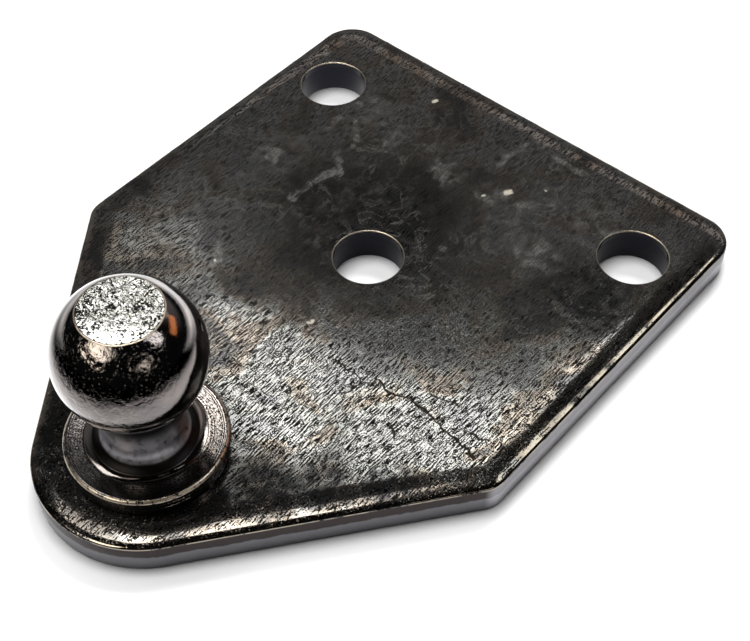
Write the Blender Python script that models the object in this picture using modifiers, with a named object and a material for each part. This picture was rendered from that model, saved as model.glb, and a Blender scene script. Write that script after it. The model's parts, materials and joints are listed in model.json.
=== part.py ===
"""Ball stud bracket for a gas spring: a punched steel plate with screw holes, and a turned ball stud
riveted through its nose. Metres, +Z up. The origin is the middle of the plate's back, and the nose is at -Y."""

import math

import bmesh
import bpy
from mathutils import Matrix, Vector

MM = 0.001

# Plate
PLATE_WIDTH = 39.6 * MM
PLATE_THICKNESS = 2.8 * MM
SIDE_LENGTH = 30.0 * MM  # from the wide edge to the shoulders
STUD_FROM_WIDE_EDGE = 42.6 * MM
NOSE_RADIUS = 8.0 * MM
CORNER_RADIUS = 2.7 * MM
SHOULDER_RADIUS = 2.2 * MM

# Screw holes, for 5 mm screws
HOLE_DIAMETER = 5.3 * MM
HOLE_SPACING = 30.0 * MM
HOLES_FROM_WIDE_EDGE = 7.4 * MM
MIDDLE_HOLE_FROM_WIDE_EDGE = 20.2 * MM

# Marks of the punch: the rolled-over front edges, and the torn lower part of the walls
EDGE_ROLL_WIDTH = 2.1 * MM
EDGE_ROLL_DEPTH = 0.45 * MM
HOLE_ROLL_WIDTH = 0.07 * MM
HOLE_ROLL_DEPTH = 0.07 * MM
TEAR_HEIGHT = 1.2 * MM
TEAR_SLOPE = 0.08 * MM

# Ball stud, with heights from the plate's front face
BALL_RADIUS = 5.0 * MM
BALL_HEIGHT = 9.75 * MM
FLAT_RADIUS = 2.75 * MM
NECK_RADIUS = 2.75 * MM
NECK_FILLET = 1.35 * MM
COLLAR_RADIUS = 5.6 * MM
COLLAR_HEIGHT = 1.35 * MM
COLLAR_CHAMFER = 0.2 * MM

# Riveted tail, formed into a 90 degree seat in the plate's back
SHANK_RADIUS = 3.0 * MM
SEAT_DEPTH = 1.0 * MM
SEAT_GAP = 0.1 * MM
TAIL_RECESS = 0.1 * MM
TOOL_MARK_RADIUS = 2.2 * MM
TOOL_MARK_DEPTH = 0.15 * MM

# Facets
TURNED_STEPS = 56
HOLE_STEPS = 40
CORNER_SEGMENTS = 8
SHOULDER_SEGMENTS = 4
NOSE_SEGMENTS = 22
EDGE_ROLL_SEGMENTS = 6
HOLE_ROLL_SEGMENTS = 2
BALL_SEGMENTS = 20
FILLET_SEGMENTS = 6
TOOL_MARK_SEGMENTS = 3
CUTTER_REACH = 1.0 * MM
MERGE_DISTANCE = 0.001 * MM
SHARP_ANGLE = math.radians(25)

PLATE_LENGTH = STUD_FROM_WIDE_EDGE + NOSE_RADIUS
WIDE_EDGE_Y = PLATE_LENGTH / 2
SHOULDER_Y = WIDE_EDGE_Y - SIDE_LENGTH
STUD_Y = WIDE_EDGE_Y - STUD_FROM_WIDE_EDGE


def arc(centre, radius, start, end, segments):
    """Points of an arc in (distance from axis, height), with angles measured from straight up"""
    angles = [start + (end - start) * step / segments for step in range(segments + 1)]
    return [(centre[0] + radius * math.sin(a), centre[1] + radius * math.cos(a)) for a in angles]


def rolled_edge(width, depth, segments):
    """Steps of (inward, upward) travel from a wall to the face beside it, along a quarter of an ellipse"""
    angles = [math.pi / 2 * step / segments for step in range(segments + 1)]
    places = [(width * (1 - math.cos(a)), depth * math.sin(a)) for a in angles]
    return [(b[0] - a[0], b[1] - a[1]) for a, b in zip(places, places[1:])]


def corner_arc(before, corner, after, radius, segments):
    """Points that round one corner of an outline which runs anticlockwise"""
    to_before = (before - corner).normalized()
    to_after = (after - corner).normalized()
    half_angle = to_before.angle(to_after) / 2
    start = corner + to_before * radius / math.tan(half_angle)
    centre = corner + (to_before + to_after).normalized() * radius / math.sin(half_angle)
    turn = math.pi - 2 * half_angle
    return [centre + Matrix.Rotation(turn * step / segments, 2) @ (start - centre) for step in range(segments + 1)]


def plate_outline():
    """Wide edge, two sides, and two tapers that run on to the nose's arc round the stud"""
    half_width = PLATE_WIDTH / 2
    shoulder_from_stud = Vector((half_width, SHOULDER_Y - STUD_Y))
    shoulder_direction = math.atan2(shoulder_from_stud.y, shoulder_from_stud.x)
    taper_normal = shoulder_direction - math.acos(NOSE_RADIUS / shoulder_from_stud.length)
    tapers_meet_y = STUD_Y + NOSE_RADIUS / math.sin(taper_normal)
    corners = [
        (Vector((half_width, WIDE_EDGE_Y)), CORNER_RADIUS, CORNER_SEGMENTS),
        (Vector((-half_width, WIDE_EDGE_Y)), CORNER_RADIUS, CORNER_SEGMENTS),
        (Vector((-half_width, SHOULDER_Y)), SHOULDER_RADIUS, SHOULDER_SEGMENTS),
        (Vector((0, tapers_meet_y)), NOSE_RADIUS, NOSE_SEGMENTS),
        (Vector((half_width, SHOULDER_Y)), SHOULDER_RADIUS, SHOULDER_SEGMENTS),
    ]
    points = []
    for index, (corner, radius, segments) in enumerate(corners):
        before = corners[index - 1][0]
        after = corners[(index + 1) % len(corners)][0]
        points += corner_arc(before, corner, after, radius, segments)
    return points


def hole_profile():
    """Half outline of a screw hole: rolled-over rim, clean wall, and a torn wall that widens to the back"""
    radius = HOLE_DIAMETER / 2
    top = PLATE_THICKNESS + CUTTER_REACH
    wall = [(radius, PLATE_THICKNESS - HOLE_ROLL_DEPTH)]
    for inward, upward in rolled_edge(HOLE_ROLL_WIDTH, HOLE_ROLL_DEPTH, HOLE_ROLL_SEGMENTS):
        wall.insert(0, (wall[0][0] + inward, wall[0][1] + upward))
    rim = wall[0][0]
    foot = radius + TEAR_SLOPE
    return [(0, top), (rim, top)] + wall + [
        (radius, TEAR_HEIGHT),
        (foot, 0),
        (foot, -CUTTER_REACH),
        (0, -CUTTER_REACH),
    ]


def stud_hole_profile():
    """Half outline of the stud's hole, with the tapered seat for the tail at the back"""
    radius = SHANK_RADIUS + SEAT_GAP
    top = PLATE_THICKNESS + CUTTER_REACH
    return [
        (0, top),
        (radius, top),
        (radius, SEAT_DEPTH),
        (radius + SEAT_DEPTH, 0),
        (radius + SEAT_DEPTH, -CUTTER_REACH),
        (0, -CUTTER_REACH),
    ]


def stud_profile():
    """Half outline of the stud from the middle of the ball's flat to the middle of its tail"""
    flat_angle = math.asin(FLAT_RADIUS / BALL_RADIUS)
    neck_angle = math.pi - math.asin(NECK_RADIUS / BALL_RADIUS)
    ball = arc((0, BALL_HEIGHT), BALL_RADIUS, flat_angle, neck_angle, BALL_SEGMENTS)
    fillet_centre = (NECK_RADIUS + NECK_FILLET, COLLAR_HEIGHT + NECK_FILLET)
    fillet = arc(fillet_centre, NECK_FILLET, 1.5 * math.pi, math.pi, FILLET_SEGMENTS)
    collar = [
        (COLLAR_RADIUS - COLLAR_CHAMFER, COLLAR_HEIGHT),
        (COLLAR_RADIUS, COLLAR_HEIGHT - COLLAR_CHAMFER),
        (COLLAR_RADIUS, SEAT_GAP),
        (SHANK_RADIUS, SEAT_GAP),
    ]
    tail_height = TAIL_RECESS - PLATE_THICKNESS
    tail = [
        (SHANK_RADIUS, SEAT_DEPTH - PLATE_THICKNESS),
        (SHANK_RADIUS + SEAT_DEPTH - TAIL_RECESS, tail_height),
    ]
    mark_sphere = (TOOL_MARK_RADIUS ** 2 + TOOL_MARK_DEPTH ** 2) / (2 * TOOL_MARK_DEPTH)
    mark_centre = (0, tail_height + TOOL_MARK_DEPTH - mark_sphere)
    mark_angle = math.asin(TOOL_MARK_RADIUS / mark_sphere)
    tool_mark = arc(mark_centre, mark_sphere, mark_angle, 0, TOOL_MARK_SEGMENTS)
    return [(0, ball[0][1])] + ball + fillet + collar + tail + tool_mark


def turned(name, profile, steps, collection):
    """Object turned from a half outline that runs from its top middle down its outer side to its bottom middle"""
    mesh = bpy.data.meshes.new(name)
    mesh.from_pydata([(r, 0, z) for r, z in profile], [(i, i + 1) for i in range(len(profile) - 1)], [])
    piece = bpy.data.objects.new(name, mesh)
    collection.objects.link(piece)
    screw = piece.modifiers.new("turn", "SCREW")
    screw.steps = steps
    screw.render_steps = steps
    screw.use_merge_vertices = True
    screw.merge_threshold = MERGE_DISTANCE
    return piece


def punched_blank(name, collection):
    """Plate without its holes: torn lower wall, clean upper wall, and the front edge rolled over"""
    blank = bmesh.new()
    outline = [blank.verts.new((point.x, point.y, TEAR_HEIGHT)) for point in plate_outline()]
    back = blank.faces.new(outline)
    raised = bmesh.ops.extrude_face_region(blank, geom=[back])["geom"]
    front = next(item for item in raised if isinstance(item, bmesh.types.BMFace))
    clean_wall = PLATE_THICKNESS - TEAR_HEIGHT - EDGE_ROLL_DEPTH
    bmesh.ops.translate(blank, verts=front.verts[:], vec=(0, 0, clean_wall))
    bmesh.ops.recalc_face_normals(blank, faces=blank.faces[:])
    for inward, upward in rolled_edge(EDGE_ROLL_WIDTH, EDGE_ROLL_DEPTH, EDGE_ROLL_SEGMENTS):
        bmesh.ops.inset_region(blank, faces=[front], thickness=inward, depth=upward, use_even_offset=True)
    bmesh.ops.inset_region(blank, faces=[back], thickness=TEAR_SLOPE, depth=TEAR_HEIGHT, use_even_offset=True)
    mesh = bpy.data.meshes.new(name)
    blank.to_mesh(mesh)
    blank.free()
    piece = bpy.data.objects.new(name, mesh)
    collection.objects.link(piece)
    return piece


def cut_hole(plate, name, profile, steps, place, collection):
    """Hole through the plate, made by a turned cutter"""
    cutter = turned(name, profile, steps, collection)
    cutter.location = (place[0], place[1], 0)
    cutter.hide_render = True
    cutter.display_type = "WIRE"
    cutter.parent = plate
    cut = plate.modifiers.new(name, "BOOLEAN")
    cut.operation = "DIFFERENCE"
    cut.solver = "EXACT"
    cut.object = cutter


def finish(piece, material):
    """Fix the modifiers into the mesh, shade it smooth between its real edges, and give it its material"""
    depsgraph = bpy.context.evaluated_depsgraph_get()
    mesh = bpy.data.meshes.new_from_object(piece.evaluated_get(depsgraph))
    piece.modifiers.clear()
    piece.data = mesh
    mesh.shade_smooth()
    mesh.set_sharp_from_angle(angle=SHARP_ANGLE)
    mesh.materials.clear()
    mesh.materials.append(material)


def black_steel(name, colour, roughness):
    """Steel with a dark conversion finish"""
    material = bpy.data.materials.new(name)
    material.use_nodes = True
    shader = material.node_tree.nodes["Principled BSDF"]
    shader.inputs["Base Color"].default_value = (*colour, 1)
    shader.inputs["Metallic"].default_value = 1
    shader.inputs["Roughness"].default_value = roughness
    return material


for old in list(bpy.data.objects):
    bpy.data.objects.remove(old)

bracket = bpy.data.collections.new("ball_stud_bracket")
cutters = bpy.data.collections.new("cutters")
for group in (bracket, cutters):
    bpy.context.scene.collection.children.link(group)

origin = bpy.data.objects.new("back_of_bracket", None)
origin.empty_display_size = PLATE_THICKNESS
bracket.objects.link(origin)

# Mounting plate, with its screw holes and the stud's hole
mounting_plate = punched_blank("mounting_plate", bracket)
mounting_plate.parent = origin
screw_hole_places = {
    "left_screw_hole": (-HOLE_SPACING / 2, WIDE_EDGE_Y - HOLES_FROM_WIDE_EDGE),
    "right_screw_hole": (HOLE_SPACING / 2, WIDE_EDGE_Y - HOLES_FROM_WIDE_EDGE),
    "middle_screw_hole": (0, WIDE_EDGE_Y - MIDDLE_HOLE_FROM_WIDE_EDGE),
}
for hole_name, hole_place in screw_hole_places.items():
    cut_hole(mounting_plate, hole_name, hole_profile(), HOLE_STEPS, hole_place, cutters)
cut_hole(mounting_plate, "stud_hole", stud_hole_profile(), TURNED_STEPS, (0, STUD_Y), cutters)
finish(mounting_plate, black_steel("plate_black_zinc", (0.055, 0.05, 0.047), 0.38))

# Ball stud, one turned piece from the ball to the riveted tail
ball_stud = turned("ball_stud", stud_profile(), TURNED_STEPS, bracket)
ball_stud.parent = origin
ball_stud.location = (0, STUD_Y, PLATE_THICKNESS)
finish(ball_stud, black_steel("stud_black_zinc", (0.07, 0.063, 0.058), 0.2))
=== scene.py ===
"""Looks of a ball stud bracket: a punched steel plate with a turned ball stud riveted through its nose,
both in black zinc, lying on a white table among soft lamp panels in a dark room."""

import json
import math

import bmesh
import bpy
from mathutils import Matrix, Vector, noise


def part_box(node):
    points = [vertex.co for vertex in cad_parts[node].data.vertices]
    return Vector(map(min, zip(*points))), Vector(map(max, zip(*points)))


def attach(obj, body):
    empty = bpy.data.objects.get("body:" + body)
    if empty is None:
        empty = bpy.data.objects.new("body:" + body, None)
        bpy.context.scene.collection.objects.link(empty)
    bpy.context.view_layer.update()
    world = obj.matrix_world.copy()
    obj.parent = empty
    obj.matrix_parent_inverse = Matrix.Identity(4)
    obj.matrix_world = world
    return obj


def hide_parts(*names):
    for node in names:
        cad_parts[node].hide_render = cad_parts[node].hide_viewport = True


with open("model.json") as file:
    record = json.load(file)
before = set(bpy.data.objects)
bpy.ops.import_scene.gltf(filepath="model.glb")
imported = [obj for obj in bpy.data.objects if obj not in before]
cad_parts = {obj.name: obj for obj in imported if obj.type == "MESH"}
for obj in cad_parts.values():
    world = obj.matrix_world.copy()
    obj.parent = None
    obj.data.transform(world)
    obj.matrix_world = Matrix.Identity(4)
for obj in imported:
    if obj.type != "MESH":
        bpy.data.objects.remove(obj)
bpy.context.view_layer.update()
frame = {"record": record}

# Mounting plate: the flat bracket itself, punched from hot rolled steel sheet and finished in black zinc.
# The punch came down on the front, so the front edges are rolled over, the upper half of each wall is
# burnished and the lower half is torn. Its three screw holes and the stud's hole were punched with it.
mm = 0.001
plate_low, plate_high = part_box("mounting_plate")
ball_flat = next(mount for mount in frame["record"]["mounts"] if mount["name"] == "ball_flat")
stud_axis = Vector(ball_flat["pos_m"]).xy
thickness = plate_high.z
half_width = plate_high.x
wide_edge = plate_high.y
nose_radius = stud_axis.y - plate_low.y
side_length = 30 * mm
corner_radius = 2.7 * mm
shoulder_radius = 2.2 * mm
outline_step = 0.3 * mm
fewest_steps = 8
edge_roll = (2.1 * mm, 0.45 * mm)
tear_height = 1.2 * mm
tear_slope = 0.08 * mm
tear_shares = ((0.2, 0.5), (0.3, 0.42), (0.5, 0.08))
tear_waviness = 0.16 * mm
tear_wave_size = 1.7 * mm
hole_radius = 2.65 * mm
hole_roll = (0.07 * mm, 0.07 * mm)
hole_steps = 96
rim_foot = thickness - hole_roll[1]
rim_foot_band = 0.02 * mm
hole_lean_share = 0.6
hole_lean_height = 0.1 * mm
pair_off_middle = 15 * mm
pair_off_edge = 7.4 * mm
single_off_edge = 20.2 * mm
screw_holes = [
    Vector((-pair_off_middle, wide_edge - pair_off_edge)),
    Vector((pair_off_middle, wide_edge - pair_off_edge)),
    Vector((0, wide_edge - single_off_edge)),
]
shank_hole_radius = 3.1 * mm
seat_depth = 1.0 * mm
merge_distance = 0.0005 * mm


def rolled_edge(width, depth, steps):
    """Steps of (inward, upward) travel from a wall to the face beside it, along a quarter of an ellipse"""
    angles = [math.pi / 2 * step / steps for step in range(steps + 1)]
    places = [(width * (1 - math.cos(a)), depth * math.sin(a)) for a in angles]
    return [(b[0] - a[0], b[1] - a[1]) for a, b in zip(places, places[1:])]


def rounded_corner(mesh, before, corner, after, radius, steps):
    """One corner of an outline that runs anticlockwise: a vertex spun round the corner's own centre"""
    to_before = (before - corner).normalized()
    to_after = (after - corner).normalized()
    half_angle = to_before.angle(to_after) / 2
    centre = corner + (to_before + to_after).normalized() * radius / math.sin(half_angle)
    first = mesh.verts.new(corner + to_before * radius / math.tan(half_angle))
    turn = math.pi - 2 * half_angle
    spun = bmesh.ops.spin(mesh, geom=[first], cent=centre, axis=(0, 0, 1), angle=turn, steps=steps)
    return first, spun["geom_last"][0]


def plate_outline(mesh, height):
    """Closed run of edges: the wide edge, two sides, and two tapers that run on to the nose's arc"""
    shoulder = Vector((half_width, wide_edge - side_length, height))
    from_stud = shoulder.xy - stud_axis
    taper_normal = math.atan2(from_stud.y, from_stud.x) - math.acos(nose_radius / from_stud.length)
    tapers_meet = Vector((0, stud_axis.y + nose_radius / math.sin(taper_normal), height))
    corners = [
        (Vector((half_width, wide_edge, height)), corner_radius),
        (Vector((-half_width, wide_edge, height)), corner_radius),
        (Vector((-half_width, shoulder.y, height)), shoulder_radius),
        (tapers_meet, nose_radius),
        (shoulder, shoulder_radius),
    ]
    arcs = []
    for index, (corner, radius) in enumerate(corners):
        before = corners[index - 1][0]
        after = corners[(index + 1) % len(corners)][0]
        steps = max(fewest_steps, round(radius * 2 / outline_step))
        arcs.append(rounded_corner(mesh, before, corner, after, radius, steps))
    for arc_before, arc in zip(arcs[-1:] + arcs, arcs):
        mesh.edges.new((arc_before[1], arc[0]))
    while long_edges := [edge for edge in mesh.edges if edge.calc_length() > outline_step]:
        bmesh.ops.subdivide_edges(mesh, edges=long_edges, cuts=1)


def punch_hole(mesh, middle, profile):
    """Wall of a round hole: its half outline, from the front face to the back, spun round its middle"""
    wall = [mesh.verts.new((middle.x + radius, middle.y, height)) for radius, height in profile]
    run = [mesh.edges.new(pair) for pair in zip(wall, wall[1:])]
    on_wall = mesh.verts.layers.float["hole_wall"]
    on_rim = mesh.verts.layers.float["hole_rim"]
    for vertex in wall:
        vertex[on_wall] = vertex.co.z < rim_foot - merge_distance
        vertex[on_rim] = rim_foot - merge_distance < vertex.co.z < thickness - merge_distance
    bmesh.ops.spin(mesh, geom=wall + run, cent=middle.to_3d(), axis=(0, 0, 1), angle=2 * math.pi,
                   steps=hole_steps, use_merge=True)


def face_between_edges(mesh, height):
    """Flat face at one height, filled between the outer edge and the holes"""
    loops = [e for e in mesh.edges if not e.link_faces or e.is_boundary]
    loops = [e for e in loops if all(abs(v.co.z - height) < merge_distance for v in e.verts)]
    bmesh.ops.triangle_fill(mesh, edges=loops, use_beauty=True, normal=(0, 0, 1))


plate_mesh = bmesh.new()
plate_mesh.verts.layers.float.new("hole_wall")
plate_mesh.verts.layers.float.new("hole_rim")
plate_outline(plate_mesh, tear_height)
back = bmesh.ops.contextual_create(plate_mesh, geom=plate_mesh.edges[:])["faces"][0]
raised = bmesh.ops.extrude_face_region(plate_mesh, geom=[back])["geom"]
front = next(item for item in raised if isinstance(item, bmesh.types.BMFace))
burnished = thickness - tear_height - edge_roll[1]
bmesh.ops.translate(plate_mesh, verts=front.verts[:], vec=(0, 0, burnished))
bmesh.ops.recalc_face_normals(plate_mesh, faces=plate_mesh.faces[:])
for inward, upward in rolled_edge(*edge_roll, steps=12):
    bmesh.ops.inset_region(plate_mesh, faces=[front], thickness=inward, depth=upward, use_even_offset=True)
for lean_share, drop_share in tear_shares:
    bmesh.ops.inset_region(plate_mesh, faces=[back], thickness=lean_share * tear_slope,
                           depth=drop_share * tear_height, use_even_offset=True)
for vertex in [v for v in plate_mesh.verts if abs(v.co.z - tear_height) < merge_distance]:
    vertex.co.z += tear_waviness * noise.noise(vertex.co / tear_wave_size)
bmesh.ops.delete(plate_mesh, geom=[front, back], context="FACES_ONLY")
screw_hole_wall = [(hole_radius, rim_foot)]
for inward, upward in rolled_edge(*hole_roll, steps=8):
    screw_hole_wall.insert(0, (screw_hole_wall[0][0] + inward, screw_hole_wall[0][1] + upward))
screw_hole_wall += [
    (hole_radius, rim_foot - rim_foot_band),
    (hole_radius, tear_height),
    (hole_radius + hole_lean_share * tear_slope, hole_lean_height),
    (hole_radius + tear_slope, 0),
]
for middle in screw_holes:
    punch_hole(plate_mesh, middle, screw_hole_wall)
stud_hole_wall = [
    (shank_hole_radius, thickness),
    (shank_hole_radius, seat_depth),
    (shank_hole_radius + seat_depth, 0),
]
punch_hole(plate_mesh, stud_axis, stud_hole_wall)
face_between_edges(plate_mesh, thickness)
face_between_edges(plate_mesh, 0)
bmesh.ops.remove_doubles(plate_mesh, verts=plate_mesh.verts[:], dist=merge_distance)
bmesh.ops.recalc_face_normals(plate_mesh, faces=plate_mesh.faces[:])


def shaded_piece(name, mesh):
    """Object from a finished mesh, smooth but for its real edges and for the edges of its level faces"""
    level_normal = 0.999999
    level_crease = math.radians(0.2)
    real_crease = math.radians(28)
    for edge in mesh.edges:
        beside_level = any(abs(face.normal.z) > level_normal for face in edge.link_faces)
        edge.smooth = edge.calc_face_angle(0) < (level_crease if beside_level else real_crease)
    for face in mesh.faces:
        face.smooth = True
    data = bpy.data.meshes.new(name)
    mesh.to_mesh(data)
    mesh.free()
    piece = bpy.data.objects.new(name, data)
    bpy.context.scene.collection.objects.link(piece)
    return piece


plate = shaded_piece("punched_plate", plate_mesh)


def plug(tree, value, socket):
    """Link a node's output into a socket, or set the socket to a plain value"""
    if isinstance(value, bpy.types.NodeSocket):
        tree.links.new(value, socket)
    else:
        socket.default_value = value


def maths(tree, operation, *values):
    """One sum on numbers or on node outputs"""
    node = tree.nodes.new("ShaderNodeMath")
    node.operation = operation
    for value, socket in zip(values, node.inputs):
        plug(tree, value, socket)
    return node.outputs[0]


def product(tree, first, *others):
    """Two or more masks or strengths multiplied together"""
    for other in others:
        first = maths(tree, "MULTIPLY", first, other)
    return first


def vectors(tree, operation, *values):
    """One sum on places or directions"""
    node = tree.nodes.new("ShaderNodeVectorMath")
    node.operation = operation
    for value, socket in zip(values, node.inputs):
        plug(tree, value, socket)
    return node.outputs["Value" if operation in ("DOT_PRODUCT", "LENGTH", "DISTANCE") else "Vector"]


def cloud(tree, place, size, detail=2.0, distortion=0.0):
    """Soft random pattern whose features are about the given size"""
    node = tree.nodes.new("ShaderNodeTexNoise")
    node.inputs["Scale"].default_value = 1 / size
    node.inputs["Detail"].default_value = detail
    node.inputs["Distortion"].default_value = distortion
    plug(tree, place, node.inputs["Vector"])
    return node.outputs["Fac"]


def between(tree, value, low, high):
    """Smooth step from nothing at the low value to all at the high one, which may be the smaller"""
    node = tree.nodes.new("ShaderNodeMapRange")
    node.interpolation_type = "SMOOTHSTEP"
    node.inputs["From Min"].default_value = low
    node.inputs["From Max"].default_value = high
    plug(tree, value, node.inputs["Value"])
    return node.outputs["Result"]


def band(tree, value, base, limits):
    """Smooth step between two limits that are measured from a base"""
    return between(tree, value, base + limits[0], base + limits[1])


def blend(tree, share, first, second):
    """Colour between two colours"""
    node = tree.nodes.new("ShaderNodeMix")
    node.data_type = "RGBA"
    plug(tree, share, node.inputs["Factor"])
    plug(tree, first, node.inputs[6])
    plug(tree, second, node.inputs[7])
    return node.outputs[2]


def pick(tree, share, first, second):
    """Number between two numbers"""
    node = tree.nodes.new("ShaderNodeMix")
    plug(tree, share, node.inputs["Factor"])
    plug(tree, first, node.inputs[2])
    plug(tree, second, node.inputs[3])
    return node.outputs[0]


def ramp(tree, value, stops):
    """Colour that runs through a few stops"""
    node = tree.nodes.new("ShaderNodeValToRGB")
    while len(node.color_ramp.elements) < len(stops):
        node.color_ramp.elements.new(0.5)
    for element, (position, colour) in zip(node.color_ramp.elements, stops):
        element.position = position
        element.color = colour
    plug(tree, value, node.inputs["Fac"])
    return node.outputs["Color"]


def hairline(tree, place, start, end, width):
    """Thin mark along the straight line between two places"""
    run = end - start
    from_start = vectors(tree, "SUBTRACT", place, start)
    along = maths(tree, "DIVIDE", vectors(tree, "DOT_PRODUCT", from_start, run), run.length_squared)
    along = maths(tree, "MINIMUM", maths(tree, "MAXIMUM", along, 0), 1)
    reach = tree.nodes.new("ShaderNodeVectorMath")
    reach.operation = "SCALE"
    reach.inputs[0].default_value = run
    plug(tree, along, reach.inputs["Scale"])
    off_line = vectors(tree, "DISTANCE", from_start, reach.outputs["Vector"])
    return between(tree, off_line, width, width / 3)


def drawn_lines(tree, place, lines):
    """Marks along several bent lines, each a width and a route in millimetres"""
    marks = 0.0
    for width, route in lines:
        for start, end in zip(route, route[1:]):
            mark = hairline(tree, place, Vector((*start, 0)) * mm, Vector((*end, 0)) * mm, width * mm)
            marks = maths(tree, "MAXIMUM", marks, mark)
    return marks


def drawn_spots(tree, place, spots):
    """Round marks, each a place and a radius in millimetres"""
    marks = 0.0
    for x, y, radius in spots:
        off_spot = vectors(tree, "DISTANCE", place, Vector((x, y, 0)) * mm)
        marks = maths(tree, "MAXIMUM", marks, between(tree, off_spot, radius * mm, radius / 3 * mm))
    return marks


def bumped(tree, shader, relief):
    """Give a shader the dents of a height that is already in metres"""
    bump = tree.nodes.new("ShaderNodeBump")
    bump.inputs["Distance"].default_value = 1
    plug(tree, relief, bump.inputs["Height"])
    plug(tree, bump.outputs["Normal"], shader.inputs["Normal"])


# Colours of the plate's finish, and of the shade and sheen painted on it
zinc_black = (0.055, 0.054, 0.055, 1)
zinc_brown = (0.138, 0.12, 0.105, 1)
zinc_grey = (0.16, 0.16, 0.158, 1)
zinc_violet = (0.13, 0.129, 0.134, 1)
mottle_stops = [(0.34, zinc_black), (0.46, zinc_brown), (0.54, zinc_grey), (0.66, zinc_violet)]
painted_shade_black = (0.018, 0.018, 0.0195, 1)
pit_black = (0.005, 0.0048, 0.0048, 1)
pit_grey = (0.012, 0.0117, 0.0117, 1)
haze_grey = (0.3, 0.3, 0.295, 1)
worn_brown = (0.24, 0.21, 0.175, 1)
burnished_brown = (0.031, 0.025, 0.024, 1)
torn_grey = (0.13, 0.128, 0.139, 1)
side_sheen_grey = (0.29, 0.285, 0.305, 1)
hole_painted_shade = (0.01, 0.01, 0.014, 1)
rim_gold = (0.42, 0.36, 0.29, 1)
scratch_black = (0.02, 0.016, 0.013, 1)
speck_bright = (0.5, 0.47, 0.42, 1)

# Marks drawn on the front, in millimetres: lines are a width and a route, spots a place and a radius
scratches = [
    (0.1, [(5.1, -3.6), (7.5, -4.2), (6.9, -5.7)]),
    (0.11, [(7.5, -4.2), (8.0, -3.4), (11.8, -3.2)]),
    (0.17, [(11.8, -3.2), (13.6, -3.4), (17.3, -4.0)]),
    (0.1, [(11.9, -1.9), (13.9, -1.4)]),
    (0.1, [(15.5, -2.7), (17.2, -2.2)]),
    (0.1, [(11.2, -5.7), (12.1, -6.4)]),
]
veins = [
    (0.48, [(-11.6, 18.0), (-11.8, 13.3)]),
    (0.42, [(-10.6, 15.6), (-8.6, 13.4), (-6.6, 14.6), (-7.6, 17.4)]),
    (0.42, [(-9.5, 12.1), (-7.2, 10.2)]),
    (0.48, [(-7.9, 10.3), (-8.5, 6.1)]),
    (0.48, [(1.5, 19.4), (1.3, 20.5), (1.9, 23.1)]),
    (0.42, [(3.0, 23.1), (7.1, 22.5)]),
    (0.48, [(2.2, 15.5), (4.1, 15.3), (5.5, 16.8), (7.4, 18.8)]),
    (0.42, [(-8.8, -4.6), (-8.2, -2.6), (-9.4, -1.2)]),
]
smudges = [
    (-10.5, 17.3, 2.6), (-1.3, 15.9, 2.2), (9.4, 13.2, 2.6), (4.6, 15.8, 2.4), (-12.6, 9.0, 3.0),
    (11.5, 18.5, 2.6),
]
specks = [
    (-7.0, 21.6, 0.32), (3.7, 17.1, 0.36), (2.6, 15.6, 0.2), (5.9, 19.5, 0.15), (0.9, -2.3, 0.18),
    (-8.3, -2.7, 0.17),
]
# Painted shade: soft dark patches over the middle, the nose and the front right, not stains
painted_shade_spots = [
    (-2.0, 8.0, 11.0), (14.5, 12.5, 5.5), (-3.0, -19.0, 11.0), (5.0, -17.5, 4.5), (8.3, -14.8, 4.0),
    (11.3, -12.0, 3.5), (14.3, -9.4, 3.0),
]

# Sizes of the plate's random patterns, and the two levels of each between which it fades in
mottle_size = 4.5 * mm
mottle_sway = 16 * mm
pitted_towards = Vector((0.66, -0.75, 0))
pitted_from = (8 * mm, 0)
wander_size = 1.3 * mm
wander_reach = 1.5 * mm
wisp_size = 1.3 * mm
vein_levels = (0.36, 0.66)
smudge_levels = (0.42, 0.75)
painted_shade_levels = (0.8, 0.4)
haze_strength = 0.36
smoke_size = 2.4 * mm
smoke_ridge = (0.03, 0)
smoke_patch_size = 6 * mm
smoke_levels = (0.42, 0.6)
smoke_strength = 0.15
wear_size = 1.6 * mm
wear_levels = (0.38, 0.62)
wear_fill = 0.2
ragged_size = 0.9 * mm
ragged_reach = 0.5 * mm
grit_size = 0.1 * mm
grain_size = 0.1 * mm
grain_stretch = 0.12
grain_share = 0.5
tooth_levels = (0.477, 0.533)
broken_size = 0.35 * mm
broken_levels = (0.25, 0.42)
nick_size = 0.13 * mm
nick_levels = (0.6, 0.72)
sag_size = 2.2 * mm

# Bands of the plate's finish and of its painted sheen, measured from its back, front, tear, side or the top
# of its wall
back_skin = (0.002 * mm, 0.01 * mm)
haze_band = (-0.15 * mm, -0.02 * mm)
roll_band = (-0.06 * mm, -0.3 * mm)
wall_band = (0, -0.1 * mm)
tear_band = (0.3 * mm, 0.14 * mm)
side_sheen_band = (-0.5 * mm, -0.1 * mm)
side_sheen_share = 0.6

# Roughness of the plate's finish, and the depth of its dents
pit_roughness = 0.45
plateau_roughness = 0.07
mark_roughness = 0.6
rim_roughness = 0.3
wall_roughness = 0.42
tooth_depth = 0.0005 * mm
nick_depth = 0.005 * mm
sag_depth = 0.008 * mm
scratch_depth = 0.004 * mm

plate_finish = bpy.data.materials.new("plate_black_zinc")
plate_finish.use_nodes = True
tree = plate_finish.node_tree
shader = tree.nodes["Principled BSDF"]
place = tree.nodes.new("ShaderNodeTexCoord").outputs["Object"]
split = tree.nodes.new("ShaderNodeSeparateXYZ")
plug(tree, place, split.inputs[0])
off_back = between(tree, split.outputs["Z"], *back_skin)
height = pick(tree, off_back, thickness, split.outputs["Z"])
stretched = tree.nodes.new("ShaderNodeMapping")
stretched.inputs["Scale"].default_value = (1, grain_stretch, 1)
plug(tree, place, stretched.inputs["Vector"])

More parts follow.
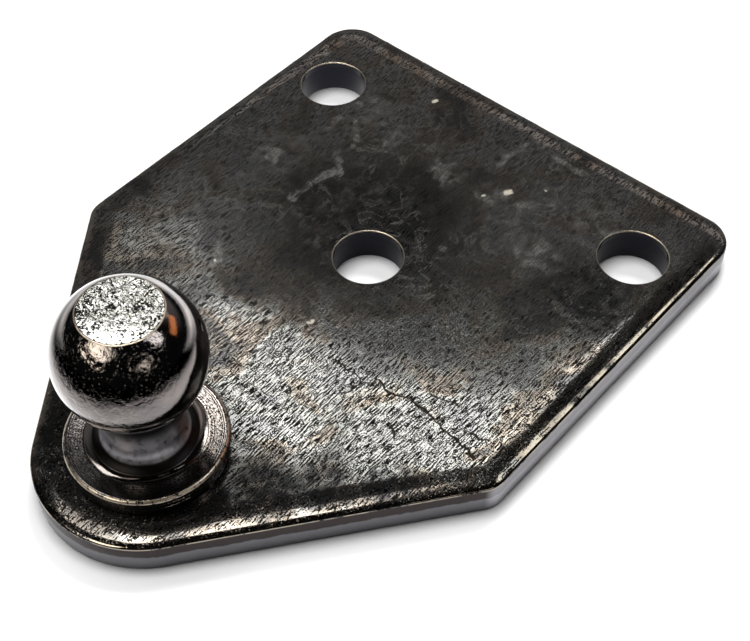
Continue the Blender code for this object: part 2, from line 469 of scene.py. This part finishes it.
mottle = cloud(tree, place, mottle_size, detail=5, distortion=0.7)
colour = ramp(tree, mottle, mottle_stops)
patchy = maths(tree, "MULTIPLY", maths(tree, "SUBTRACT", mottle, 0.5), mottle_sway)
towards_front = vectors(tree, "DOT_PRODUCT", place, pitted_towards)
smooth = between(tree, maths(tree, "ADD", towards_front, patchy), *pitted_from)
wander = tree.nodes.new("ShaderNodeTexNoise")
wander.inputs["Scale"].default_value = 1 / wander_size
wander.inputs["Detail"].default_value = 4
plug(tree, place, wander.inputs["Vector"])
off_straight = tree.nodes.new("ShaderNodeVectorMath")
off_straight.operation = "SCALE"
plug(tree, vectors(tree, "SUBTRACT", wander.outputs["Color"], (0.5, 0.5, 0.5)), off_straight.inputs[0])
off_straight.inputs["Scale"].default_value = wander_reach
wavy_place = vectors(tree, "ADD", place, off_straight.outputs["Vector"])
flat_place = vectors(tree, "MULTIPLY", wavy_place, (1, 1, 0))
wisps = cloud(tree, place, wisp_size, detail=4, distortion=0.8)
veined = product(tree, drawn_lines(tree, flat_place, veins), between(tree, wisps, *vein_levels))
smudged = product(tree, drawn_spots(tree, flat_place, smudges), between(tree, wisps, *smudge_levels))
smoke = cloud(tree, place, smoke_size, detail=4, distortion=1)
smoke = between(tree, maths(tree, "ABSOLUTE", maths(tree, "SUBTRACT", smoke, 0.5)), *smoke_ridge)
smoke_patches = between(tree, cloud(tree, place, smoke_patch_size), *smoke_levels)
smoke = product(tree, smoke, smoke_patches, smooth, smoke_strength)
haze = product(tree, maths(tree, "MAXIMUM", veined, smudged), haze_strength)
haze = maths(tree, "MAXIMUM", haze, smoke)
haze = product(tree, haze, band(tree, height, thickness, haze_band), off_back)
# Painted shade: the front darkened in soft patches with ragged edges
painted_shade = product(tree, drawn_spots(tree, flat_place, painted_shade_spots), between(tree, wisps, *painted_shade_levels))
colour = blend(tree, painted_shade, colour, painted_shade_black)

roll = band(tree, height, thickness, roll_band)
worn = product(tree, roll, between(tree, cloud(tree, place, wear_size, detail=4), *wear_levels))
colour = blend(tree, worn, colour, worn_brown)
wall = band(tree, height, thickness - edge_roll[1], wall_band)
colour = blend(tree, wall, colour, burnished_brown)
ragged = maths(tree, "SUBTRACT", cloud(tree, place, ragged_size, detail=4), 0.5)
ragged = maths(tree, "MULTIPLY", ragged, ragged_reach)
tear = band(tree, maths(tree, "ADD", height, ragged), tear_height, tear_band)
colour = blend(tree, tear, colour, torn_grey)
# Painted sheen: the walls of the two long sides are coloured a paler grey than the other walls
side_painted_sheen = band(tree, maths(tree, "ABSOLUTE", split.outputs["X"]), half_width, side_sheen_band)
side_painted_sheen = product(tree, wall, side_painted_sheen, pick(tree, tear, side_sheen_share, 1))
colour = blend(tree, side_painted_sheen, colour, side_sheen_grey)
in_hole = {}
# Painted shade: the holes' walls are coloured near black; the gold on their rims is wear
for layer, tint in (("hole_wall", hole_painted_shade), ("hole_rim", rim_gold)):
    attribute = tree.nodes.new("ShaderNodeAttribute")
    attribute.attribute_name = layer
    in_hole[layer] = product(tree, attribute.outputs["Fac"], off_back)
    colour = blend(tree, in_hole[layer], colour, tint)

grit = cloud(tree, place, grit_size, detail=2)
grain = cloud(tree, stretched.outputs["Vector"], grain_size, detail=1)
tooth = maths(tree, "ADD", pick(tree, grain_share, grit, grain), product(tree, worn, wear_fill))
tooth = between(tree, tooth, *tooth_levels)
tooth = maths(tree, "MAXIMUM", tooth, maths(tree, "MAXIMUM", wall, in_hole["hole_rim"]))
colour = blend(tree, tooth, blend(tree, smooth, pit_black, pit_grey), colour)
colour = blend(tree, haze, colour, haze_grey)

broken = between(tree, cloud(tree, place, broken_size, detail=1), *broken_levels)
scored = product(tree, drawn_lines(tree, flat_place, scratches), broken, off_back)
colour = blend(tree, scored, colour, scratch_black)
bright = product(tree, drawn_spots(tree, flat_place, specks), off_back)
colour = blend(tree, bright, colour, speck_bright)
plug(tree, colour, shader.inputs["Base Color"])
shader.inputs["Metallic"].default_value = 1
polish = pick(tree, tooth, pit_roughness, plateau_roughness)
polish = pick(tree, maths(tree, "MAXIMUM", scored, bright), polish, mark_roughness)
polish = pick(tree, in_hole["hole_rim"], polish, rim_roughness)
plug(tree, pick(tree, wall, polish, wall_roughness), shader.inputs["Roughness"])

sag = maths(tree, "MULTIPLY", cloud(tree, place, sag_size, detail=2), sag_depth)
nicks = between(tree, cloud(tree, place, nick_size, detail=2), *nick_levels)
nicks = product(tree, nicks, pick(tree, smooth, nick_depth, 0))
relief = maths(tree, "ADD", maths(tree, "MULTIPLY", tooth, tooth_depth), sag)
relief = maths(tree, "SUBTRACT", relief, nicks)
relief = maths(tree, "SUBTRACT", relief, maths(tree, "MULTIPLY", scored, scratch_depth))
bumped(tree, shader, relief)
plate.data.materials.append(plate_finish)
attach(plate, "root")
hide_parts("mounting_plate")

# Ball stud: one steel piece turned on a lathe, with a flat-topped ball, a neck, a fillet and a collar.
# Its shank goes through the plate's nose, and its tail is riveted flush into the seat at the back.
ball_radius = 5.0 * mm
flat_radius = 2.75 * mm
flat_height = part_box("ball_stud")[1].z
ball_height = flat_height - math.sqrt(ball_radius ** 2 - flat_radius ** 2)
flat_rim = 0.3 * mm
neck_radius = 2.75 * mm
ball_fillet = 0.3 * mm
neck_fillet = 1.5 * mm
collar_radius = 5.6 * mm
collar_top = thickness + 1.35 * mm
collar_rim = 0.3 * mm
collar_line = 0.05 * mm
collar_lines = (0.83 * mm, 0.47 * mm)
collar_gap = 0.02 * mm
shank_radius = 3.0 * mm
tail_recess = 0.1 * mm
tail_radius = shank_radius + seat_depth - tail_recess
mark_radius = 2.2 * mm
mark_depth = 0.15 * mm


class TurnedOutline:
    """Half outline of a turned piece, drawn from its top middle down its outer side to its bottom middle"""

    def __init__(self, axis, height):
        self.mesh = bmesh.new()
        self.axis = axis
        self.last = self.mesh.verts.new((axis.x, axis.y, height))

    def line(self, radius, height):
        """Straight run to a distance from the axis and a height"""
        end = self.mesh.verts.new((self.axis.x + radius, self.axis.y, height))
        self.mesh.edges.new((self.last, end))
        self.last = end

    def arc(self, radius, height, turn, steps):
        """Arc from the last point about a centre; a turn above nothing bulges outwards, below it hollows"""
        centre = (self.axis.x + radius, self.axis.y, height)
        spun = bmesh.ops.spin(self.mesh, geom=[self.last], cent=centre, axis=(0, 1, 0), angle=turn,
                              steps=steps)
        self.last = spun["geom_last"][0]

    def turned(self, steps):
        """The whole piece, spun round its axis"""
        outline = self.mesh.verts[:] + self.mesh.edges[:]
        bmesh.ops.spin(self.mesh, geom=outline, cent=self.axis.to_3d(), axis=(0, 0, 1), angle=2 * math.pi,
                       steps=steps, use_merge=True)
        bmesh.ops.remove_doubles(self.mesh, verts=self.mesh.verts[:], dist=merge_distance)
        bmesh.ops.recalc_face_normals(self.mesh, faces=self.mesh.faces[:])
        return self.mesh


outline = TurnedOutline(stud_axis, flat_height)
rim_height = flat_height - flat_rim
rim_centre = math.sqrt((ball_radius - flat_rim) ** 2 - (rim_height - ball_height) ** 2)
rim_turn = math.atan2(rim_centre, rim_height - ball_height)
outline.line(rim_centre / 2, flat_height)
outline.line(rim_centre, flat_height)
outline.arc(rim_centre, rim_height, rim_turn, steps=6)
fillet_centre = neck_radius + ball_fillet
fillet_drop = math.sqrt((ball_radius + ball_fillet) ** 2 - fillet_centre ** 2)
ball_turn = math.pi - math.atan2(fillet_centre, fillet_drop) - rim_turn
outline.arc(0, ball_height, ball_turn, steps=56)
outline.arc(fillet_centre, ball_height - fillet_drop, -math.atan2(fillet_drop, fillet_centre), steps=8)
outline.line(neck_radius, collar_top + neck_fillet)
outline.arc(neck_radius + neck_fillet, collar_top + neck_fillet, -math.pi / 2, steps=14)
outline.line(collar_radius - collar_rim, collar_top)
outline.arc(collar_radius - collar_rim, collar_top - collar_rim, math.pi / 2, steps=12)
for line_height in collar_lines:
    outline.line(collar_radius, thickness + line_height + collar_line)
    outline.line(collar_radius - collar_line, thickness + line_height)
    outline.line(collar_radius, thickness + line_height - collar_line)
outline.line(collar_radius, thickness + collar_gap + collar_line)
outline.line(collar_radius - collar_line, thickness + collar_gap)
outline.line(shank_radius, thickness + collar_gap)
outline.line(shank_radius, seat_depth)
outline.line(tail_radius, tail_recess)
mark_sphere = (mark_radius ** 2 + mark_depth ** 2) / (2 * mark_depth)
outline.line(mark_radius, tail_recess)
outline.arc(0, tail_recess + mark_depth - mark_sphere, -math.asin(mark_radius / mark_sphere), steps=6)
stud = shaded_piece("turned_stud", outline.turned(steps=160))


def direction_to(azimuth, elevation):
    """Unit vector towards a place round the bracket; azimuth 0 is -Y, and 90 is +X, in degrees"""
    turn = math.radians(azimuth)
    rise = math.radians(elevation)
    return Vector((math.sin(turn) * math.cos(rise), -math.cos(turn) * math.cos(rise), math.sin(rise)))


# Colours and roughness of the stud's finish, and of the shade painted on its neck and fillet
stud_black = (0.13, 0.12, 0.118, 1)
stud_brown = (0.18, 0.16, 0.152, 1)
neck_grey = (0.4, 0.39, 0.42, 1)
flat_white = (0.21, 0.208, 0.195, 1)
pit_and_shade_black = (0.008, 0.0075, 0.0075, 1)
glossy_range = (0.03, 0.13)
neck_roughness = 0.4
tool_roughness = 0.5
collar_roughness = 0.06
worn_roughness = 0.35

# Sizes of the stud's random patterns, the levels between which each fades in, and the depth of its dents
stain_size = 1.8 * mm
stain_levels = (0.36, 0.66)
gloss_size = 0.8 * mm
neck_stain_size = 0.5 * mm
neck_stain_levels = (0.1, 0.55)
ring_size = 0.07 * mm
ring_depth = 0.0012 * mm
collar_grit = 0.11 * mm
collar_levels = (0.93, 1.05)
rim_patch_size = 0.35 * mm
rim_levels = (0.32, 0.5)
ball_grit = 0.12 * mm
ball_grit_depth = 0.0022 * mm
ball_dents = 0.55 * mm
ball_dents_depth = 0.065 * mm
ball_nicks = 0.16 * mm
ball_nicks_depth = 0.006 * mm
flat_grit = 0.14 * mm
flat_grit_depth = 0.0008 * mm
flat_patch_size = 1.1 * mm
flat_patch_share = 0.3
flat_levels = (0.455, 0.475)

# Bands of the stud's finish and of its painted shade, measured from the ball's centre, the flat or the
# collar's top
ball_foot = (-3.8 * mm, -4.1 * mm)
neck_band = (0.52 * mm, 0.72 * mm)
under_ball_shadow_band = (3.5 * mm, 1.7 * mm)
matt_band = (0.12 * mm, 0.18 * mm)
flat_skin = (-0.005 * mm, -0.001 * mm)
flat_rim_foot = (-0.045 * mm, -0.03 * mm)
flat_rim_top = (-0.003 * mm, -0.01 * mm)
collar_skin = (0.012 * mm, 0.006 * mm)
collar_rim_foot = (-0.28 * mm, -0.2 * mm)
collar_rim_top = (-0.01 * mm, -0.03 * mm)
worn_towards = direction_to(35, 32)
worn_reach = (0.5 * ball_radius, 0.9 * ball_radius)

stud_finish = bpy.data.materials.new("stud_black_zinc")
stud_finish.use_nodes = True
tree = stud_finish.node_tree
shader = tree.nodes["Principled BSDF"]
place = tree.nodes.new("ShaderNodeTexCoord").outputs["Object"]
centred = tree.nodes.new("ShaderNodeMapping")
centred.inputs["Location"].default_value = (-stud_axis.x, -stud_axis.y, 0)
plug(tree, place, centred.inputs["Vector"])
split = tree.nodes.new("ShaderNodeSeparateXYZ")
plug(tree, centred.outputs["Vector"], split.inputs[0])
height = split.outputs["Z"]
off_axis = vectors(tree, "LENGTH", vectors(tree, "MULTIPLY", centred.outputs["Vector"], (1, 1, 0)))
stains = between(tree, cloud(tree, place, stain_size, detail=4, distortion=0.6), *stain_levels)
colour = blend(tree, stains, stud_black, stud_brown)
polish = pick(tree, cloud(tree, place, gloss_size, detail=3), *glossy_range)
below_ball = band(tree, height, ball_height, ball_foot)
# Painted shade: the neck and fillet under the ball are coloured near black, with a matt roughness
matt_and_painted_shade = product(tree, below_ball, band(tree, height, collar_top, matt_band))
colour = blend(tree, matt_and_painted_shade, colour, pit_and_shade_black)
polish = pick(tree, matt_and_painted_shade, polish, neck_roughness)
neck_stains = between(tree, cloud(tree, place, neck_stain_size, detail=4), *neck_stain_levels)
on_neck = product(tree, below_ball, band(tree, height, collar_top, neck_band))
# Painted shadow under the ball: the neck's grey fades out to black going up towards the ball
neck_painted_shadow = band(tree, height, collar_top, under_ball_shadow_band)
colour = blend(tree, product(tree, on_neck, neck_stains, neck_painted_shadow), colour, neck_grey)

lathe = tree.nodes.new("ShaderNodeTexNoise")
lathe.noise_dimensions = "1D"
lathe.inputs["Scale"].default_value = 1 / ring_size
plug(tree, maths(tree, "SUBTRACT", off_axis, height), lathe.inputs["W"])
rings = lathe.outputs["Fac"]
on_flat = band(tree, height, flat_height, flat_skin)
on_collar = band(tree, height, collar_top, collar_skin)
flat_patches = cloud(tree, place, flat_patch_size, detail=2)
flat_tooth = pick(tree, flat_patch_share, cloud(tree, place, flat_grit, detail=3), flat_patches)
flat_tooth = between(tree, flat_tooth, *flat_levels)
collar_tooth = maths(tree, "ADD", rings, cloud(tree, place, collar_grit, detail=2))
collar_tooth = between(tree, collar_tooth, *collar_levels)
tooth = pick(tree, on_flat, pick(tree, on_collar, 1, collar_tooth), flat_tooth)
colour = blend(tree, on_flat, colour, flat_white)
colour = blend(tree, tooth, pit_and_shade_black, colour)
polish = pick(tree, tooth, tool_roughness, pick(tree, on_collar, polish, collar_roughness))
flat_worn = band(tree, height, flat_height, flat_rim_foot)
flat_worn = product(tree, flat_worn, band(tree, height, flat_height, flat_rim_top))
rim_patches = between(tree, cloud(tree, place, rim_patch_size, detail=4), *rim_levels)
collar_worn = band(tree, height, collar_top, collar_rim_foot)
collar_worn = product(tree, collar_worn, band(tree, height, collar_top, collar_rim_top), rim_patches)
worn = maths(tree, "MAXIMUM", flat_worn, collar_worn)
colour = blend(tree, worn, colour, rim_gold)
polish = pick(tree, worn, polish, worn_roughness)
plug(tree, colour, shader.inputs["Base Color"])
shader.inputs["Metallic"].default_value = 1
plug(tree, polish, shader.inputs["Roughness"])

grit_depth = pick(tree, on_flat, ball_grit_depth, 0)
relief = maths(tree, "MULTIPLY", cloud(tree, place, ball_grit, detail=2), grit_depth)
relief = maths(tree, "ADD", relief, maths(tree, "MULTIPLY", rings, ring_depth))
relief = maths(tree, "ADD", relief, product(tree, flat_tooth, on_flat, flat_grit_depth))
dents = cloud(tree, place, ball_dents, detail=4, distortion=0.6)
nicks = between(tree, cloud(tree, place, ball_nicks, detail=2, distortion=0.5), *nick_levels)
marks = maths(tree, "SUBTRACT", maths(tree, "MULTIPLY", dents, ball_dents_depth),
              maths(tree, "MULTIPLY", nicks, ball_nicks_depth))
from_centre = vectors(tree, "SUBTRACT", centred.outputs["Vector"], (0, 0, ball_height))
worn_front = between(tree, vectors(tree, "DOT_PRODUCT", from_centre, worn_towards), *worn_reach)
marks = maths(tree, "MULTIPLY", marks, maths(tree, "SUBTRACT", worn_front, on_flat))
bumped(tree, shader, maths(tree, "ADD", relief, marks))
stud.data.materials.append(stud_finish)
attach(stud, "root")
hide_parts("ball_stud")

# Table: a plain white surface that the bracket lies on, with the bracket's shadow from two lamps of its own.
# Farther off it is white to the camera; near the bracket its glow fades where hemmed in, a painted contact
# shade.
# The metal mirrors it as painted light behind the bracket, brighter than white, and as painted shade, black,
# in front.
table_reach = 2.0
table_colour = (0.9, 0.9, 0.9, 1)
table_unseen = (0, 0, 0, 1)
lit_radius = (45 * mm, 120 * mm)
glow_near = 0.2
glow_far = 1.0
glow_in_metal = 0.57
glow_left = 0.7
glow_behind = 2.2
glow_behind_left = 0.8
front_radius = (60 * mm, 22 * mm)
behind_azimuth = 221
behind_from = (0, 60 * mm)
left_azimuth = 300
left_from = (5 * mm, 30 * mm)
sheet_end = (160 * mm, 110 * mm)
hollow_reach = 8 * mm
hollow_levels = (0.45, 0.9)

table_mesh = bmesh.new()
bmesh.ops.create_grid(table_mesh, x_segments=1, y_segments=1, size=table_reach)
table = shaded_piece("table", table_mesh)
table_paint = bpy.data.materials.new("table_white")
table_paint.use_nodes = True
tree = table_paint.node_tree
shader = tree.nodes["Principled BSDF"]
shader.inputs["Roughness"].default_value = 1
shader.inputs["Specular IOR Level"].default_value = 0
place = tree.nodes.new("ShaderNodeTexCoord").outputs["Object"]
from_middle = vectors(tree, "LENGTH", place)
light_path = tree.nodes.new("ShaderNodeLightPath")
in_metal = light_path.outputs["Is Glossy Ray"]
seen = maths(tree, "MAXIMUM", light_path.outputs["Is Camera Ray"], in_metal)
seen = maths(tree, "MAXIMUM", seen, light_path.outputs["Is Transmission Ray"])
open_sky = tree.nodes.new("ShaderNodeAmbientOcclusion")
open_sky.inputs["Distance"].default_value = hollow_reach
in_open = between(tree, open_sky.outputs["AO"], *hollow_levels)
far_off = between(tree, from_middle, *lit_radius)
glow = pick(tree, far_off, maths(tree, "MULTIPLY", in_open, glow_near), glow_far)
backwards = vectors(tree, "DOT_PRODUCT", place, direction_to(behind_azimuth, 0))
behind = between(tree, backwards, *behind_from)
lit_front = between(tree, from_middle, *front_radius)
leftwards = vectors(tree, "DOT_PRODUCT", place, direction_to(left_azimuth, 0))
on_left = between(tree, leftwards, *left_from)
left_share = maths(tree, "MULTIPLY", on_left, glow_left)
# Painted reflection: in the metal the table glows bright behind the bracket and turns black in front
metal_glow = maths(tree, "ADD", maths(tree, "MULTIPLY", in_open, glow_in_metal), left_share)
metal_glow = product(tree, metal_glow, lit_front)
metal_glow = pick(tree, behind, metal_glow, pick(tree, on_left, glow_behind, glow_behind_left))
metal_glow = product(tree, metal_glow, between(tree, from_middle, *sheet_end))
glow = pick(tree, in_metal, glow, metal_glow)
unshown = maths(tree, "SUBTRACT", 1, maths(tree, "MAXIMUM", lit_front, behind))
colour = blend(tree, product(tree, in_metal, unshown), table_colour, table_unseen)
plug(tree, colour, shader.inputs["Base Color"])
white = tree.nodes.new("ShaderNodeEmission")
plug(tree, product(tree, seen, glow), white.inputs["Strength"])
both = tree.nodes.new("ShaderNodeAddShader")
plug(tree, shader.outputs[0], both.inputs[0])
plug(tree, white.outputs[0], both.inputs[1])
plug(tree, both.outputs[0], tree.nodes["Material Output"].inputs["Surface"])
table.data.materials.append(table_paint)

# Room: dark, with a dim grey wall behind the bracket that the metal mirrors.
# Where the camera itself looks past the table, the room is white.
room_colour = (0.012, 0.012, 0.013, 1)
wall_colour = (0.315, 0.309, 0.306, 1)
camera_white = (1, 1, 1, 1)
wall_spread = (75, 30)
wall_foot = (5, 15)
wall_top = (50.5, 45.5)

world = bpy.data.worlds.new("dark_room")
bpy.context.scene.world = world
world.use_nodes = True
tree = world.node_tree
direction = tree.nodes.new("ShaderNodeTexCoord").outputs["Generated"]
split = tree.nodes.new("ShaderNodeSeparateXYZ")
plug(tree, direction, split.inputs[0])
level = vectors(tree, "NORMALIZE", vectors(tree, "MULTIPLY", direction, (1, 1, 0)))
to_wall = vectors(tree, "DOT_PRODUCT", level, direction_to(behind_azimuth, 0))
on_wall = between(tree, to_wall, *(math.cos(math.radians(spread)) for spread in wall_spread))
for limits in (wall_foot, wall_top):
    inside = between(tree, split.outputs["Z"], *(math.sin(math.radians(limit)) for limit in limits))
    on_wall = product(tree, on_wall, inside)
colour = blend(tree, on_wall, room_colour, wall_colour)
camera_ray = tree.nodes.new("ShaderNodeLightPath").outputs["Is Camera Ray"]
colour = blend(tree, camera_ray, colour, camera_white)
plug(tree, colour, tree.nodes["Background"].inputs["Color"])

# Lamps: soft panels round the bracket, each given by its direction from the bracket, its size and its glow.
# All but the last two shine on the metal alone, which mirrors them. The last two shine on the table alone.
lamp_distance = 1.2
tube_white = (1, 1, 0.94)
warm_white = (1, 0.98, 0.92)
cream = (1, 0.93, 0.8)
wall_brown = (1, 0.84, 0.72)
orange = (1, 0.35, 0.12)


def lit_pieces(name, pieces):
    """Collection of the only pieces that a lamp shines on, or that shade it"""
    group = bpy.data.collections.new(name)
    for piece in pieces:
        group.objects.link(piece)
    return group


def facing(away, tilt):
    """Rotation of a lamp or a camera that stands off in a direction and looks back, tilted by some degrees"""
    tilted = Matrix.Rotation(math.radians(tilt), 3, "Z")
    return (away.to_track_quat("Z", "Y").to_matrix() @ tilted).to_euler()


def lamp(name, lights, azimuth, elevation, across, tall, glow, colour=(1, 1, 1), tilt=0, shades=None):
    """Panel that faces the bracket; across and tall are the angles it fills, in degrees"""
    light = bpy.data.lights.new(name, "AREA")
    light.shape = "RECTANGLE"
    light.size = 2 * lamp_distance * math.tan(math.radians(across) / 2)
    light.size_y = 2 * lamp_distance * math.tan(math.radians(tall) / 2)
    light.energy = glow * math.pi * light.size * light.size_y
    light.color = colour
    panel = bpy.data.objects.new(name, light)
    away = direction_to(azimuth, elevation)
    panel.rotation_euler = facing(away, tilt)
    panel.location = away * lamp_distance
    panel.visible_camera = False
    panel.light_linking.receiver_collection = lights
    panel.light_linking.blocker_collection = shades
    bpy.context.scene.collection.objects.link(panel)


on_metal = lit_pieces("metal", [plate, stud])
on_stud = lit_pieces("stud_only", [stud])
on_plate = lit_pieces("plate_only", [plate])
on_table = lit_pieces("white_table", [table])
lamp("back_strip_end", on_metal, azimuth=202.8, elevation=54.8, across=7, tall=7, glow=8,
     colour=tube_white)
lamp("back_strip_right", on_metal, azimuth=215.5, elevation=56.2, across=9.3, tall=6.5, glow=7.5, tilt=-6,
     colour=tube_white)
lamp("back_strip_left", on_metal, azimuth=229, elevation=52.7, across=7, tall=5, glow=7.5, tilt=-30,
     colour=tube_white)
lamp("strip_top", on_metal, azimuth=229.5, elevation=55.8, across=5, tall=3, glow=2, colour=tube_white)
lamp("left_glow", on_plate, azimuth=236, elevation=47, across=6, tall=3.5, glow=1.8, colour=tube_white)
lamp("flat_card", on_stud, azimuth=237, elevation=49.2, across=7, tall=7, glow=11)
lamp("overhead_panel", on_metal, azimuth=253, elevation=82.4, across=20, tall=19, glow=10, tilt=-32,
     colour=warm_white)
lamp("left_window", on_metal, azimuth=278, elevation=68, across=16, tall=24, glow=7, colour=warm_white)
lamp("brown_wall", on_metal, azimuth=200, elevation=35, across=60, tall=10, glow=0.75, colour=wall_brown)
lamp("front_window", on_metal, azimuth=-11, elevation=43, across=32, tall=20, glow=7, colour=cream)
lamp("right_streak", on_metal, azimuth=75, elevation=28, across=25, tall=6, glow=4, colour=cream)
lamp("far_patch", on_stud, azimuth=122, elevation=48, across=14, tall=26, glow=5)
lamp("side_patch", on_plate, azimuth=146, elevation=53, across=20, tall=18, glow=4, colour=tube_white)
lamp("warm_patch", on_stud, azimuth=155, elevation=23, across=24, tall=9, glow=2.4, colour=orange)
lamp("table_key", on_table, azimuth=203, elevation=50, across=20, tall=12, glow=27, shades=on_plate)
lamp("table_top", on_table, azimuth=258, elevation=80, across=30, tall=30, glow=10)

# Camera: the photograph's own view, worked out from the bracket's edges, holes and ball.
# It looks down on the front of the plate, with the nose and the stud nearest to it.
frame_width = 750
focal_pixels = 1456.73
sensor_width = 36
nearest_seen = 1 * mm
view_azimuth = 41.387
view_elevation = 50.128
view_roll = -0.599
view_distance = 104.671 * mm
view_target = Vector((4.456 * mm, 0.748 * mm, thickness))

lens = bpy.data.cameras.new("photo_view")
lens.sensor_fit = "HORIZONTAL"
lens.sensor_width = sensor_width
lens.lens = focal_pixels / frame_width * sensor_width
lens.clip_start = nearest_seen
camera = bpy.data.objects.new("photo_view", lens)
bpy.context.scene.collection.objects.link(camera)
towards_camera = direction_to(view_azimuth, view_elevation)
camera.location = view_target + view_distance * towards_camera
camera.rotation_euler = facing(towards_camera, view_roll)
bpy.context.scene.camera = camera
bpy.context.scene.view_settings.view_transform = "Standard"
